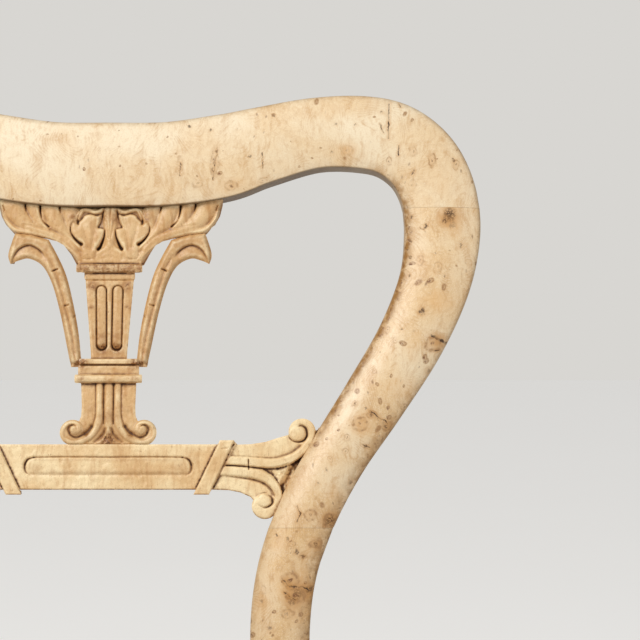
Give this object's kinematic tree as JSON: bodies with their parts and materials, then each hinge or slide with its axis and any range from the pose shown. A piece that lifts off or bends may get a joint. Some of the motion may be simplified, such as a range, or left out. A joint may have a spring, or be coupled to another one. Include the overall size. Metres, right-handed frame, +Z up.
{
  "type": "swivel chair",
  "caption": "Swivel chair with an open balloon back of pale burl wood, carved splat and scrolled cross rail, round drop-in leather seat, turning on a pedestal with scroll feet.",
  "frame": {"origin": "on the floor, under the swivel's axis", "axes": "+Z up along the swivel's axis, the chair faces -Y, +X to the right as seen from the front of the chair"},
  "size_m": [0.5596, 0.5596, 0.8782],
  "materials": {
    "burl_wood": "bleached and waxed burl",
    "carved_wood": "carved, glazed brown in the recesses",
    "beech": "plain sawn",
    "iron": "blacked",
    "brass": "worn",
    "jute": "woven",
    "hair_stuffing": "matted",
    "leather": "semi-gloss"
  },
  "bodies": {
    "base": {"hub": "burl_wood", "drop_finial": "burl_wood", "socket": "iron", "thrust_washer": "brass", "front_leg": "burl_wood", "front_flange_screw": "iron", "right_leg": "burl_wood", "right_flange_screw": "iron", "back_leg": "burl_wood", "back_flange_screw": "iron", "left_leg": "burl_wood", "left_flange_screw": "iron"},
    "seat_and_back": {"back_plate_screw": "iron", "back_ring_tongue": "beech", "back_seat_rail": "burl_wood", "base_cloth": "jute", "crest_rail": "burl_wood", "cross_rail": "carved_wood", "front_back_batten": "beech", "front_plate_screw": "iron", "front_ring_tongue": "beech", "front_seat_rail": "burl_wood", "leather_cover": "leather", "left_crest_dowel": "beech", "left_horn": "carved_wood", "left_lower_stile": "burl_wood", "left_plate_screw": "iron", "left_ring_tongue": "beech", "left_seat_rail": "burl_wood", "left_stile_dowel": "beech", "left_upper_stile": "burl_wood", "right_crest_dowel": "beech", "right_horn": "carved_wood", "right_lower_stile": "burl_wood", "right_plate_screw": "iron", "right_ring_tongue": "beech", "right_seat_rail": "burl_wood", "right_stile_dowel": "beech", "right_upper_stile": "burl_wood", "seat_pad": "hair_stuffing", "seat_webbing": "jute", "side_batten": "beech", "slip_seat_frame": "beech", "spindle": "iron", "swivel_plate": "iron", "tail_nut": "iron", "tail_washer": "iron", "vase_splat": "carved_wood"}
  },
  "joints": [
    {"name": "seat_swivel", "type": "hinge", "parent": "base", "child": "seat_and_back", "pos_m": [0, 0, 0.3654], "axis": [0, 0, 1], "continuous": true}
  ]
}
